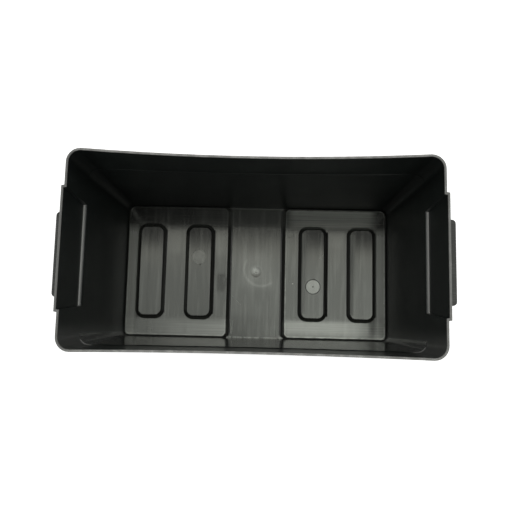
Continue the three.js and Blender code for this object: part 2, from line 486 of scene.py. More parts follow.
    def strokes(self, *strokes: Stroke) -> Link:
        """Draws straight lines.

        Args:
            *strokes: The lines.

        Returns:
            What they add up to.
        """
        shares = []
        for stroke in strokes:
            run = Vector(stroke.end) - Vector(stroke.start)
            unit = run.normalized()
            middle = (Vector(stroke.start) + Vector(stroke.end)) / 2
            across = self.sum("SUBTRACT", self.x, middle.x)
            along = self.sum("SUBTRACT", self.y, middle.y)
            lengthwise = self.total(self.product(across, unit.x), self.product(along, unit.y))
            sideways = self.total(self.product(across, -unit.y), self.product(along, unit.x))
            whole = self.ease(lengthwise, Stripe(0.0, run.length / 2, stroke.width))
            shares.append(self.product(whole, self.ease(sideways, Stripe(0.0, 0.0, stroke.width))))
        return self.total(*shares)


@dataclass(frozen=True)
class FloorPlan:
    """Where the floor's raised forms lie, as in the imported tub, and its marks."""

    on_strip: Ramp = Ramp(36 * MM, 34 * MM)
    off_strip: Ramp = Ramp(36 * MM, 37 * MM)
    front_margin: Ramp = Ramp(-59 * MM, -68 * MM)
    back_margin: Ramp = Ramp(53 * MM, 62 * MM)
    end_margin: Area = Area(y=(Ramp(66 * MM, 48 * MM),), away_x=(Ramp(157 * MM, 164 * MM),))
    end_groove: Ramp = Ramp(172.8 * MM, 173.4 * MM)
    side_groove: Area = Area(away_x=(Ramp(37 * MM, 38 * MM),), away_y=(Ramp(86.2 * MM, 86.8 * MM),))
    pad_top: float = 6.4 * MM
    pad_middle: float = 106.05 * MM
    pad_half: Spot = (66.85 * MM, 86.3 * MM)
    pad_corner: float = 6 * MM
    island_top: float = 10.4 * MM
    island_rise: Ramp = Ramp(pad_top + MM, island_top)
    island_crest: Ramp = Ramp(island_top - 0.2 * MM, island_top)
    island_centres: tuple[float, ...] = (-141 * MM, -76 * MM, 76 * MM, 141 * MM)
    island_middle: float = -0.8 * MM
    island_half: float = 14.5 * MM
    gate: Spot = (0.0, 0.5 * MM)
    gate_stub: Dab = Dab((gate[0], gate[1] + 1.5 * MM), 1.5 * MM, 6 * MM, 1.2)
    gate_dot: Dab = Dab(gate, 0.6 * MM, 0.9 * MM, 0.5)
    dish_radius: float = 8.4 * MM
    dish: Dab = Dab(gate, dish_radius, MM)
    dish_edge: Dab = Dab(gate, dish_radius, 1.3 * MM, 0.22)
    cooling_arc: Dab = Dab((7.0 * MM, 4.6 * MM), 23.0 * MM, 3.0 * MM, 0.42)
    cooling_arc_middle: float = math.radians(230)
    cooling_arc_half_turn: float = math.radians(80)
    left_print: Spot = (-76.9 * MM, 18.7 * MM)
    left_radius: float = 9.3 * MM
    left_disc: Dab = Dab(left_print, left_radius - MM, MM)
    left_outline: Dab = Dab(left_print, left_radius, 0.6 * MM, 0.27)
    left_smudge: Dab = Dab(
        (left_print[0] + 2 * MM, left_print[1] - left_radius - MM), 0.5 * MM, 1.2 * MM, 0.6
    )
    right_print: Spot = (76.5 * MM, -18.4 * MM)
    right_radius: float = 9.7 * MM
    right_disc: Dab = Dab(right_print, right_radius - MM, 0.5 * MM)
    right_outline: Dab = Dab(right_print, right_radius, 0.6 * MM)
    right_dot: Dab = Dab(right_print, 0.5 * MM, 0.7 * MM)
    right_tick: Stroke = Stroke(
        (right_print[0] - 0.5 * MM, right_print[1] + right_radius),
        (right_print[0] + 2 * MM, right_print[1] + right_radius + 0.4 * MM),
        0.8 * MM,
    )
    small_print: Dab = Dab((45.6 * MM, 52 * MM), 4 * MM, 0.5 * MM, 0.4)
    specks: tuple[Dab, ...] = (
        Dab((49.6 * MM, -14.5 * MM), 0.2 * MM, 0.7 * MM),
        Dab((171.6 * MM, -38.0 * MM), 0.2 * MM, 0.7 * MM),
        Dab((45.4 * MM, -11.6 * MM), 0.1 * MM, 0.8 * MM, 0.3),
        Dab((-43.0 * MM, 50.0 * MM), 0.1 * MM, 0.8 * MM, 0.3),
    )
    scratches: tuple[Stroke, ...] = (
        Stroke((-31.2 * MM, -32.5 * MM), (-19.4 * MM, -44.2 * MM)),
        Stroke((-33.4 * MM, -63.9 * MM), (-30.5 * MM, -83 * MM)),
        Stroke((-29.6 * MM, -65 * MM), (-30 * MM, -80.7 * MM)),
        Stroke((84.8 * MM, 19.9 * MM), (90 * MM, 25 * MM)),
    )
    stain: Patch = Patch((-46 * MM, -15 * MM), (3.5 * MM, 9 * MM), 7 * MM)


@dataclass(frozen=True)
class FloorLayer:
    """What the layers of the floor's finish share: regions, polish lines and lines along the pads' edges,
    painted highlights where pale.
    """

    plan: FloorPlan = FloorPlan()
    lines_across: Grain = Grain((0.9 * MM, 110 * MM, 110 * MM), 4.0)
    lines_along: Grain = Grain((110 * MM, 0.9 * MM, 110 * MM), 4.0)
    # The line along the pads' edges, which the pale colour makes a painted highlight.
    pad_edge: Stripe = Stripe(-0.8 * MM, 0.2 * MM, 0.9 * MM)
    edge_highlight: Grain = Grain((9 * MM,) * 3, 4.0, 2.0, Ramp(0.2, 0.7))
    edge_shares: Area = Area(
        x=(Ramp(-60 * MM, 60 * MM, 0.45, 1.0),),
        y=(Ramp(60 * MM, -70 * MM, 0.25, 1.0),),
        away_x=(Ramp(42 * MM, 40.5 * MM, 1.0, 0.55),),
    )

    def margins(self, sheet: FinishSheet) -> Link:
        """Shows the front and back margins of the pads.

        Args:
            sheet: Finish that it is for.

        Returns:
            1 on the margins.
        """
        pads = sheet.ease(sheet.away_x, self.plan.off_strip)
        sides = [sheet.ease(sheet.y, step) for step in (self.plan.front_margin, self.plan.back_margin)]
        return sheet.product(pads, sheet.sum("MAXIMUM", *sides))

    def front_margins(self, sheet: FinishSheet) -> Link:
        """Is 1 on the front margins of the pads."""
        return sheet.product(self.margins(sheet), sheet.ease(sheet.y, NEGATIVE))

    def streaks(self, sheet: FinishSheet) -> Link:
        """Draws fine lines of the mould's polish, lengthwise in the margins and across elsewhere."""
        across, along = sheet.grain(self.lines_across), sheet.grain(self.lines_along)
        return sheet.blend(self.margins(sheet), across, along)

    def edges(self, sheet: FinishSheet) -> Link:
        """Draws lines along the pads' edges, most at the front and on the right pad; in pale colour they
        are painted highlights.

        Args:
            sheet: Finish that it is for.

        Returns:
            How strong the line is at each place.
        """
        plan = self.plan
        across = sheet.sum("SUBTRACT", sheet.away_x, plan.pad_middle)
        outline = sheet.ease(sheet.beyond(across, sheet.y, plan.pad_half, plan.pad_corner), self.pad_edge)
        return sheet.product(outline, sheet.eased(self.edge_highlight), sheet.area(self.edge_shares))

    def grooves(self, sheet: FinishSheet) -> Link:
        """Is 1 in the narrow grooves between the pads and the walls."""
        end = sheet.ease(sheet.away_x, self.plan.end_groove)
        return sheet.sum("MAXIMUM", end, sheet.area(self.plan.side_groove))


@dataclass(frozen=True)
class FloorWearAndLight(FloorLayer):
    """Where the floor is rubbed or marked pale, and where pale colour paints reflections and highlights.
    """

    fine_streaks: Ramp = Ramp(0.42, 0.85, 0.0, 0.04)
    # The ends of the pads are pale as a painted reflection of the lamps, laid along the polish lines.
    end_streaks: Ramp = Ramp(-0.2, 0.6, 0.0, 0.41)
    end_front: Ramp = Ramp(-50 * MM, -64 * MM, 1.0, 0.8)
    # The pads' front and back margins are pale partly from scuffing along the polish lines and partly as
    # a painted reflection of the lamps.
    margin_streaks: Ramp = Ramp(0.0, 0.7, 0.0, 0.18)
    front: Area = Area(x=(Ramp(-105 * MM, -150 * MM, 1.0, 0.1),), y=(NEGATIVE,))
    back_right: Area = Area(
        x=(Ramp(36 * MM, 54 * MM), Ramp(166 * MM, 150 * MM)),
        y=(Ramp(57 * MM, 66 * MM), Ramp(85.6 * MM, 84.4 * MM), Ramp(70 * MM, 84 * MM, 2.2, 4.0)),
    )
    # Faintly paler back of the left pad and the strip: a painted reflection.
    back_reflection: Area = Area(
        x=(Ramp(-130 * MM, -10 * MM), Ramp(40 * MM, 37 * MM)), y=(Ramp(58 * MM, 67 * MM, 0.0, 0.085),)
    )
    scratch_share: float = 0.5
    edge_share: float = 0.75
    # A paler band along the slopes just below the tops of the pads and islands.
    slope_depth: float = 1.8 * MM
    slope_half: float = 1.3 * MM
    slope_soft: float = 0.5 * MM
    slope_share: float = 0.06
    # Pale lines where the strip meets the walls: painted highlights of the fillets there.
    front_foot: Stripe = Stripe(-87.3 * MM, 0.5 * MM, 0.6 * MM)
    foot_highlight_noise: Grain = Grain((4 * MM,) * 3, 4.0, 1.0, Ramp(0.25, 0.55))
    back_foot: Stripe = Stripe(87 * MM, 0.5 * MM, 0.6 * MM)
    back_foot_share: float = 0.16

    def share(self, sheet: FinishSheet, streaks: Link) -> Link:
        """Adds up all that is pale.

        Args:
            sheet: Finish that it is for.
            streaks: The polish lines.

        Returns:
            The share of the pale colour.
        """
        # Ends of the pads: pale as a painted reflection of the lamps.
        worn_and_lit = sheet.product(
            sheet.area(self.plan.end_margin),
            sheet.ease(streaks, self.end_streaks),
            sheet.ease(sheet.y, self.end_front),
        )
        # Margins: pale partly from scuffing and partly as a painted reflection of the lamps.
        rubbed_and_lit = sheet.product(
            self.margins(sheet),
            sheet.total(sheet.area(self.front), sheet.area(self.back_right)),
            sheet.ease(streaks, self.margin_streaks),
        )
        fine = sheet.ease(streaks, self.fine_streaks)
        return sheet.total(fine, worn_and_lit, rubbed_and_lit, sheet.area(self.back_reflection), self.marks(sheet), self.feet(sheet))

    def marks(self, sheet: FinishSheet) -> Link:
        """Draws scratches, specks, the outline of the left print, painted highlights along the pads'
        edges and a paler band on the forms' slopes.

        Args:
            sheet: Finish that it is for.

        Returns:
            What they add up to.
        """
        slopes = [
            sheet.ease(sheet.z, Stripe(top - self.slope_depth, self.slope_half, self.slope_soft))
            for top in (self.plan.island_top, self.plan.pad_top)
        ]
        return sheet.total(
            sheet.product(sheet.strokes(*self.plan.scratches), self.scratch_share),
            sheet.product(self.edges(sheet), self.edge_share),
            sheet.rings(self.plan.left_outline),
            sheet.discs(*self.plan.specks),
            sheet.product(sheet.total(*slopes), self.slope_share),
        )

    def feet(self, sheet: FinishSheet) -> Link:
        """Draws pale lines as painted highlights where the strip meets the front and back walls.

        Args:
            sheet: Finish that it is for.

        Returns:
            What they add up to.
        """
        front = sheet.product(sheet.ease(sheet.y, self.front_foot), sheet.eased(self.foot_highlight_noise))
        back = sheet.product(sheet.ease(sheet.y, self.back_foot), self.back_foot_share)
        return sheet.product(sheet.ease(sheet.away_x, self.plan.on_strip), sheet.total(front, back))


@dataclass(frozen=True)
class FloorFilm(FloorLayer):
    """A waxy film left by the mould: margins, marks, edges and a few soft patches."""

    clouds: Grain = Grain((3.6 * MM, 60 * MM, 60 * MM), 5.0, 4.0, Ramp(0.45, 0.68, 0.0, 0.3))
    streaks_seen: Ramp = Ramp(-0.3, 0.65)
    left: Area = Area(x=(Ramp(-172 * MM, -44 * MM), NEGATIVE), y=(Ramp(-57 * MM, -76 * MM),))
    right: Area = Area(x=(POSITIVE, Ramp(166 * MM, 128 * MM, 0.0, 0.35)))
    soft_patches: tuple[Patch, ...] = (
        Patch((-110 * MM, 38 * MM), (MM, 8 * MM), 12 * MM),
        Patch((-48 * MM, 36 * MM), (MM, 8 * MM), 12 * MM),
        Patch((108 * MM, 46 * MM), (3 * MM, 4 * MM), 12 * MM),
        Patch((0.0, 4 * MM), (12 * MM, 12 * MM), 22 * MM),
    )
    soft_share: float = 0.36
    end_share: float = 0.95
    blots: Grain = Grain((3 * MM, 4 * MM, 3 * MM), 3.0, 9.0, Ramp(0.35, 0.65, 0.2, 0.5))
    mottle: Grain = Grain((2.2 * MM,) * 3, 3.0, 8.0)
    mottle_least: float = 0.15
    mottle_most: float = 0.65

    def share(self, sheet: FinishSheet, streaks: Link) -> Link:
        """Adds up the film.

        Args:
            sheet: Finish that it is for.
            streaks: The polish lines.

        Returns:
            How strong it is at each place.
        """
        sides = sheet.total(sheet.area(self.left), sheet.area(self.right))
        margins = sheet.product(self.front_margins(sheet), sides)
        soft = sheet.product(sheet.patches(*self.soft_patches), self.soft_share)
        return sheet.total(
            sheet.product(sheet.total(margins, soft), sheet.ease(streaks, self.streaks_seen)),
            sheet.product(sheet.area(self.plan.end_margin), self.end_share),
            sheet.eased(self.clouds),
            self.marks(sheet),
        )

    def marks(self, sheet: FinishSheet) -> Link:
        """Draws the film's marks: both prints, the gate, the cooling arc, edges and specks.

        Args:
            sheet: Finish that it is for.

        Returns:
            What they add up to.
        """
        plan = self.plan
        mottled = sheet.blend(sheet.grain(self.mottle), self.mottle_least, self.mottle_most)
        return sheet.total(
            sheet.product(sheet.discs(plan.left_disc), sheet.eased(self.blots)),
            sheet.product(sheet.discs(plan.right_disc), mottled),
            sheet.arc(plan.cooling_arc, plan.cooling_arc_middle, plan.cooling_arc_half_turn),
            sheet.discs(plan.gate_stub, *plan.specks),
            sheet.rings(plan.dish_edge),
            self.edges(sheet),
        )


@dataclass(frozen=True)
class FloorSheen(FloorLayer):
    """Glossy, and duller along the end walls, in the grooves and in marks, which so look dark."""

    polish: float = 0.135
    end_polish: float = 0.3
    dull: float = 0.6
    streak_polish: float = 0.1
    streak_middle: float = 0.5
    stain_blotches: Grain = Grain((6 * MM, 14 * MM, 6 * MM), 2.0, 6.0, Ramp(0.1, 0.6))
    stain_share: float = 0.32
    strip_front: Ramp = Ramp(-50 * MM, -66 * MM, 0.0, 0.13)
    inner_half: Spot = (MM, 52 * MM)
    inner_soft: float = 7 * MM
    inner_share: float = 0.35

    def roughness(self, sheet: FinishSheet, streaks: Link) -> Link:
        """Gives the roughness of each place.

        Args:
            sheet: Finish that it is for.
            streaks: The polish lines.

        Returns:
            The roughness.
        """
        varied = sheet.product(sheet.sum("SUBTRACT", streaks, self.streak_middle), self.streak_polish)
        plain = sheet.blend(sheet.area(self.plan.end_margin), self.polish, self.end_polish)
        dull = sheet.sum("MAXIMUM", self.marks(sheet), self.grooves(sheet))
        return sheet.blend(dull, sheet.total(plain, varied), self.dull)

    def marks(self, sheet: FinishSheet) -> Link:
        """Draws the dull marks and the right islands' dull inner sides.

        Args:
            sheet: Finish that it is for.

        Returns:
            What they add up to.
        """
        plan = self.plan
        inner = [
            Patch((middle - plan.island_half, plan.island_middle), self.inner_half, self.inner_soft)
            for middle in plan.island_centres
            if middle > 0
        ]
        on_islands = sheet.product(sheet.ease(sheet.z, plan.island_rise), self.inner_share)
        return sheet.total(
            sheet.rings(plan.right_outline, plan.small_print),
            sheet.discs(plan.right_dot, plan.gate_dot, plan.left_smudge),
            sheet.strokes(plan.right_tick),
            sheet.product(sheet.patches(plan.stain), sheet.eased(self.stain_blotches), self.stain_share),
            sheet.product(sheet.ease(sheet.away_x, plan.on_strip), sheet.ease(sheet.y, self.strip_front)),
            sheet.product(sheet.patches(*inner), on_islands),
        )


@dataclass(frozen=True)
class FloorWarp(FloorLayer):
    """How the surface leans a little, as mouldings do: forms, margins and the right print."""

    island_crown: float = 0.17
    pad_hollow: float = 0.23
    strip: Ramp = Ramp(37 * MM, 36 * MM)
    strip_crease: float = 0.06
    right: Area = Area(x=(POSITIVE, Ramp(168 * MM, 140 * MM)))
    right_lean: float = 0.032
    left_lean: float = 0.012
    near_strip: Ramp = Ramp(-110 * MM, -46 * MM)
    back: Area = Area(x=(Ramp(60 * MM, 30 * MM),), y=(Ramp(60 * MM, 68 * MM),))
    back_lean: float = 0.03
    print_lean: float = 0.078
    foot_reach: float = 4.4 * MM
    foot_half: Spot = (0.8 * MM, 56 * MM)
    foot_soft: float = 1.5 * MM
    foot_lean: float = 0.34
    outer: Ramp = Ramp(143 * MM, 151 * MM)
    outer_lean: float = 0.27
    dish_levelling: float = 2.6

    def normal(self, sheet: FinishSheet, normal: Link) -> Link:
        """Leans a normal.

        Args:
            sheet: Finish that it is for.
            normal: The normal to lean.

        Returns:
            The leaning normal.
        """
        island = sheet.ease(sheet.z, self.plan.island_crest)
        level = sheet.product(sheet.discs(self.plan.dish), self.dish_levelling)
        return sheet.lean(normal, self.lean_x(sheet, island), self.lean_y(sheet, island), level)

    def lean_x(self, sheet: FinishSheet, island: Link) -> Link:
        """Gives how far each place leans towards +X.

        Args:
            sheet: Finish that it is for.
            island: 1 on the islands' tops.

        Returns:
            The slope.
        """
        plan = self.plan
        left = sheet.product(self.front_margins(sheet), sheet.ease(sheet.x, NEGATIVE))
        reach = plan.island_half + self.foot_reach
        feet = [
            Patch((middle + reach, plan.island_middle), self.foot_half, self.foot_soft)
            for middle in plan.island_centres
        ]
        shaded = sheet.product(sheet.sum("MAXIMUM", island, left), sheet.ease(sheet.away_x, self.outer))
        return sheet.total(
            sheet.product(left, sheet.ease(sheet.x, self.near_strip), self.left_lean),
            sheet.product(sheet.patches(*feet), self.foot_lean),
            sheet.product(shaded, sheet.x, -self.outer_lean),
        )

    def lean_y(self, sheet: FinishSheet, island: Link) -> Link:
        """Gives how far each place leans towards +Y.

        Args:
            sheet: Finish that it is for.
            island: 1 on the islands' tops.

        Returns:
            The slope.
        """
        front = self.front_margins(sheet)
        form = sheet.product(sheet.y, sheet.blend(island, -self.pad_hollow, self.island_crown))
        crease = sheet.product(sheet.away_y, -self.strip_crease)
        plain = sheet.blend(sheet.ease(sheet.away_x, self.strip), form, crease)
        return sheet.total(
            sheet.blend(self.margins(sheet), plain, 0.0),
            sheet.product(front, sheet.area(self.right), -self.right_lean),
            sheet.product(front, sheet.ease(sheet.x, NEGATIVE), self.left_lean),
            sheet.product(sheet.area(self.back), self.back_lean),
            sheet.product(sheet.discs(self.plan.right_disc), -self.print_lean),
        )


@dataclass(frozen=True)
class FloorSkin(FloorLayer):
    """Inside of the floor: polished lengthwise in its margins and across the tub elsewhere."""

    base: Colour = (0.0085, 0.0088, 0.0082)
    pale: Colour = (0.29, 0.30, 0.28)
    film_gloss: float = 0.2
    streak_depth: float = 0.004 * MM
    streak_height: float = 1.4
    margin_height: float = 0.2
    wear_and_light: FloorWearAndLight = FloorWearAndLight()
    film: FloorFilm = FloorFilm()
    sheen: FloorSheen = FloorSheen()
    warp: FloorWarp = FloorWarp()

    def material(self) -> bpy.types.Material:
        """Builds the finish.

        Returns:
            The new material.
        """
        sheet = FinishSheet("floor_skin")
        streaks = self.streaks(sheet)
        raised = sheet.sum("SUBTRACT", 1.0, self.grooves(sheet))
        # Pale colour: the real polish lines and marks, and painted reflections and highlights on the
        # margins, the pads' edges and the strip's feet.
        worn_and_lit = sheet.product(self.wear_and_light.share(sheet, streaks), raised)
        sheet.paint(base_color=sheet.tint(worn_and_lit, self.base, self.pale))
        sheet.paint(roughness=self.sheen.roughness(sheet, streaks))
        height = sheet.blend(self.margins(sheet), self.streak_height, self.margin_height)
        normal = sheet.relief(sheet.product(streaks, height), self.streak_depth)
        sheet.paint(normal=self.warp.normal(sheet, normal))
        film = sheet.product(self.film.share(sheet, streaks), raised)
        sheet.paint(coat_weight=film, coat_roughness=self.film_gloss)
        return sheet.material


@dataclass(frozen=True)
class WallSkin:
    """Inside of the walls: satin, glossy under a film on the front wall, with painted highlights and
    painted shade in its colour.
    """

    step: float = 166 * MM
    base: Colour = (0.0098, 0.0124, 0.0114)
    lighter: Colour = (0.019, 0.0236, 0.0216)
    # Darker colour in the back corners: painted shade.
    back_corner: Colour = (0.0064, 0.0080, 0.0074)
    # Pale colour of the painted highlights on the front corners, the step's edge and the ledges.
    rubbed_and_lit: Colour = (0.30, 0.30, 0.29)
    clouds: Grain = Grain((30 * MM,) * 3, 4.0, ramp=Ramp(0.4, 0.75))
    draw_lines: Grain = Grain((1.2 * MM, 1.2 * MM, 90 * MM), ramp=Ramp(0.3, 0.7))
    grit: Grain = Grain((0.6 * MM,) * 3, 2.0)
    grit_depth: float = 0.004 * MM
    gloss: float = 0.42
    front_gloss: float = 0.2
    upper_gloss: float = 0.4
    film_gloss: float = 0.2
    lower_film: float = 0.85
    upper_film: float = 0.7
    upper: Ramp = Ramp(step, step + 2 * MM)
    front: Ramp = Ramp(-82 * MM, -86 * MM)
    back_corners: Area = Area(y=(Ramp(70 * MM, 84 * MM),), away_x=(Ramp(158 * MM, 174 * MM),))
    # Painted highlight along the crests of the pockets' ledges.
    ledge_crests: Area = Area(
        z=(Ramp(step - 1.5 * MM, step), Ramp(step + 0.8 * MM, step + 0.3 * MM)),
        away_x=(Ramp(184.6 * MM, 188.6 * MM),),
        away_y=(Ramp(57 * MM, 55 * MM, 0.0, 0.95),),
    )
    # Painted highlight along the step's edge on the back wall.
    back_edge: Area = Area(
        x=(Ramp(-40 * MM, 40 * MM, 0.04, 0.12),),
        y=(Ramp(84 * MM, 88 * MM),),
        z=(Stripe(step + 1.2 * MM, 0.5 * MM, 0.6 * MM),),
        away_x=(Ramp(172 * MM, 140 * MM),),
    )
    # Painted light over the front corners, with a stronger painted highlight along their edges.
    front_corners: Area = Area(y=(Ramp(-70 * MM, -90 * MM),), away_x=(Ramp(158 * MM, 178 * MM),))
    corner_edges: Area = Area(
        y=(Ramp(-90 * MM, -93 * MM),),
        z=(Stripe(step + 1.2 * MM, 0.6 * MM, 0.8 * MM),),
        away_x=(Ramp(169 * MM, 175 * MM),),
    )
    corner_light: float = 0.19
    edge_highlight: float = 2.0

    def material(self) -> bpy.types.Material:
        """Builds the finish.

        Returns:
            The new material.
        """
        sheet = FinishSheet("wall_skin")
        plain = sheet.tint(sheet.eased(self.clouds, self.draw_lines), self.base, self.lighter)
        # The back corners are darkened as painted shade.
        corner_shade = sheet.tint(sheet.area(self.back_corners), plain, self.back_corner)
        # The corners, the step's edge and the ledges get painted highlights in pale colour.
        sheet.paint(base_color=sheet.tint(self.worn_and_lit(sheet), corner_shade, self.rubbed_and_lit))
        upper = sheet.ease(sheet.z, self.upper)
        front = sheet.ease(sheet.y, self.front)
        lower = sheet.blend(front, self.gloss, self.front_gloss)
        sheet.paint(roughness=sheet.blend(upper, lower, self.upper_gloss))
        film = sheet.product(front, sheet.blend(upper, self.lower_film, self.upper_film))
        sheet.paint(coat_weight=film, coat_roughness=self.film_gloss)
        sheet.paint(normal=sheet.relief(sheet.grain(self.grit), self.grit_depth))
        return sheet.material

    def worn_and_lit(self, sheet: FinishSheet) -> Link:
        """Paints highlights in pale colour on the front corners, the step's edge and the crests of the
        pockets' ledges.

        Args:
            sheet: Finish that it is for.

        Returns:
            How strong the painted highlight is at each place.
        """
        corners = sheet.blend(sheet.area(self.corner_edges), self.corner_light, self.edge_highlight)
        front = sheet.product(sheet.area(self.front_corners), corners)
        return sheet.total(front, sheet.area(self.back_edge), sheet.area(self.ledge_crests))


@dataclass(frozen=True)
class RimSkin:
    """Top edge of the walls, pale partly from trimming and rubbing and partly as a painted highlight, and
    darker round the end walls.
    """

    # The pale base colour is partly trimmed, rubbed plastic and partly a painted highlight.
    base: Colour = (0.20, 0.20, 0.19)
    rubbed_and_lit: Colour = (0.36, 0.36, 0.35)
    dark: Colour = (0.13, 0.13, 0.125)
    gloss: float = 0.45
    wear_and_light: Grain = Grain((9 * MM,) * 3, 4.0, ramp=Ramp(0.35, 0.7))
    nicks: Grain = Grain((1.1 * MM,) * 3, ramp=Ramp(0.25, 0.6))
    nick_depth: float = 0.04 * MM
    ends: Area = Area(x=(Ramp(0.0, -MM, 0.5, 0.9),), away_x=(Ramp(176 * MM, 186 * MM),))

    def material(self) -> bpy.types.Material:
        """Builds the finish.

        Returns:
            The new material.
        """
        sheet = FinishSheet("rim_skin")
        colour = sheet.tint(sheet.eased(self.wear_and_light, self.nicks), self.base, self.rubbed_and_lit)
        colour = sheet.tint(sheet.area(self.ends), colour, self.dark)
        sheet.paint(base_color=colour, roughness=self.gloss)
        sheet.paint(normal=sheet.relief(sheet.grain(self.nicks), self.nick_depth))
        return sheet.material


@dataclass(frozen=True)
class OutsideSkin:
    """Outside of the walls: fine moulded grain with a few pale rubs."""

    base: Colour = (0.014, 0.0145, 0.015)
    rubbed_and_lit: Colour = (0.045, 0.046, 0.046)
    smoothest: float = 0.32
    roughest: float = 0.44
    leather: Grain = Grain((0.7 * MM,) * 3)
    leather_depth: float = 0.03 * MM
    rubs: Grain = Grain((26 * MM, 26 * MM, 9 * MM), 5.0, ramp=Ramp(0.5, 0.8))
    draw_lines: Grain = Grain((0.8 * MM, 0.8 * MM, 70 * MM), ramp=Ramp(0.35, 0.75))

    def material(self) -> bpy.types.Material:
        """Builds the finish.

        Returns:
            The new material.
        """
        sheet = FinishSheet("outside_skin")
        leather = sheet.grain(self.leather)
        colour = sheet.tint(sheet.eased(self.rubs, self.draw_lines), self.base, self.rubbed_and_lit)
        sheet.paint(base_color=colour, roughness=sheet.blend(leather, self.smoothest, self.roughest))
        sheet.paint(normal=sheet.relief(leather, self.leather_depth))
        return sheet.material


@dataclass(frozen=True)
class UndersideSkin:
    """Underside: satin, scuffed grey where it slides over what it stands on."""

    base: Colour = (0.016, 0.0165, 0.017)
    scuffed: Colour = (0.10, 0.10, 0.098)
    gloss: float = 0.5
    drags: Grain = Grain((24 * MM, 1.0 * MM, 8 * MM), 4.0, ramp=Ramp(0.45, 0.75))
    drag_depth: float = 0.02 * MM
    clouds: Grain = Grain((40 * MM,) * 3, ramp=Ramp(0.3, 0.7))
    standing: Ramp = Ramp(0.6 * MM, 0.1 * MM, 0.25, 1.0)

    def material(self) -> bpy.types.Material:
        """Builds the finish.

        Returns:
            The new material.
        """
        sheet = FinishSheet("underside_skin")
        worn_and_lit = sheet.product(sheet.eased(self.drags, self.clouds), sheet.ease(sheet.z, self.standing))
        sheet.paint(base_color=sheet.tint(worn_and_lit, self.base, self.scuffed), roughness=self.gloss)
        sheet.paint(normal=sheet.relief(sheet.grain(self.drags), self.drag_depth))
        return sheet.material


@dataclass(frozen=True)
class HandleSkin:
    """Handles: satin, a little lighter than the tub, polished across their tops."""

    base: Colour = (0.026, 0.027, 0.026)
    rubbed_and_lit: Colour = (0.075, 0.076, 0.073)
    smoothest: float = 0.29
    roughest: float = 0.39
    streaks: Grain = Grain((60 * MM, 0.9 * MM, 60 * MM), 4.0, ramp=Ramp(0.35, 0.75))
    wear_and_light: Grain = Grain((14 * MM,) * 3, ramp=Ramp(0.3, 0.7))
    grit: Grain = Grain((0.5 * MM,) * 3, 2.0)
    grit_depth: float = 0.012 * MM

    def material(self) -> bpy.types.Material:
        """Builds the finish.

        Returns:
            The new material.
        """
        sheet = FinishSheet("handle_skin")
        colour = sheet.tint(sheet.eased(self.streaks, self.wear_and_light), self.base, self.rubbed_and_lit)
        roughness = sheet.blend(sheet.grain(self.wear_and_light), self.smoothest, self.roughest)
        sheet.paint(base_color=colour, roughness=roughness)
        sheet.paint(normal=sheet.relief(sheet.grain(self.grit), self.grit_depth))
        return sheet.material


def smoothed_copy(node: str, name: str) -> bpy.types.Object:
    """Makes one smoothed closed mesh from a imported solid's loose triangles.

    Args:
        node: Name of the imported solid.
        name: Name of the new piece.

    Returns:
        The new piece.
    """
    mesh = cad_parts[node].data.copy()
    mesh.name = name
    mesh.materials.clear()
    work = bmesh.new()
    work.from_mesh(mesh)
    bmesh.ops.remove_doubles(work, verts=work.verts, dist=WELD_DISTANCE)
    for face in work.faces:
        face.smooth = True
    for edge in work.edges:
        edge.smooth = edge.calc_face_angle(0) < SHARP_ANGLE
    work.to_mesh(mesh)
    work.free()
    piece = bpy.data.objects.new(name, mesh)
    bpy.context.scene.collection.objects.link(piece)
    normals = piece.modifiers.new("even_normals", "WEIGHTED_NORMAL")
    normals.keep_sharp = True
    return piece


@dataclass(frozen=True)
class Tub:
    """The tub, with a finish for each of its regions."""

    node: str = "tub"
    rim_edge: float = 0.8 * MM
    floor_relief: float = 14 * MM
    least_floor_rise: float = 0.3
    most_wall_rise: float = 0.7

    def build(self) -> None:
        """Makes the smoothed tub and dresses it."""
        piece = smoothed_copy(self.node, "tub_shell")
        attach(piece, "root")
        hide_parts(self.node)
        self.dress(piece.data)
        log.info("tub_shell: %d faces", len(piece.data.polygons))

    def dress(self, mesh: bpy.types.Mesh) -> None:
        """Gives each face the finish of its region.

        Args:
            mesh: The tub's mesh.
        """
        finishes = {
            Zone.FLOOR: FloorSkin(),
            Zone.WALL: WallSkin(),
            Zone.RIM: RimSkin(),
            Zone.OUTSIDE: OutsideSkin(),
            Zone.UNDERSIDE: UndersideSkin(),
        }
        for zone in Zone:
            mesh.materials.append(finishes[zone].material())
        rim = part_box(self.node)[1][2] - self.rim_edge
        for face in mesh.polygons:
            face.material_index = self.zone_of(face.center, face.normal, rim).value

    def zone_of(self, centre: Vector, normal: Vector, rim: float) -> Zone:
        """Tells the region of a face.

        Args:
            centre: Middle of the face.
            normal: Direction that it faces.
            rim: Height at which the rim starts.

        Returns:
            Its region.
        """
        if centre.z > rim:
            return Zone.RIM
        if centre.z < self.floor_relief and abs(normal.z) > self.least_floor_rise:
            return Zone.FLOOR if normal.z > 0 else Zone.UNDERSIDE
        outwards = normal.x * centre.x + normal.y * centre.y > 0
        return Zone.OUTSIDE if outwards and normal.z < self.most_wall_rise else Zone.WALL


@dataclass(frozen=True)
class Handle:
    """The lifting handle at one end."""

    side: Side

    def build(self) -> None:
        """Makes the smoothed handle and dresses it."""
        name = f"{self.side.name.lower()}_handle"
        piece = smoothed_copy(name, f"{name}_shell")
        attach(piece, "root")
        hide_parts(name)
        piece.data.materials.append(HandleSkin().material())
        log.info("%s: %d faces", piece.name, len(piece.data.polygons))


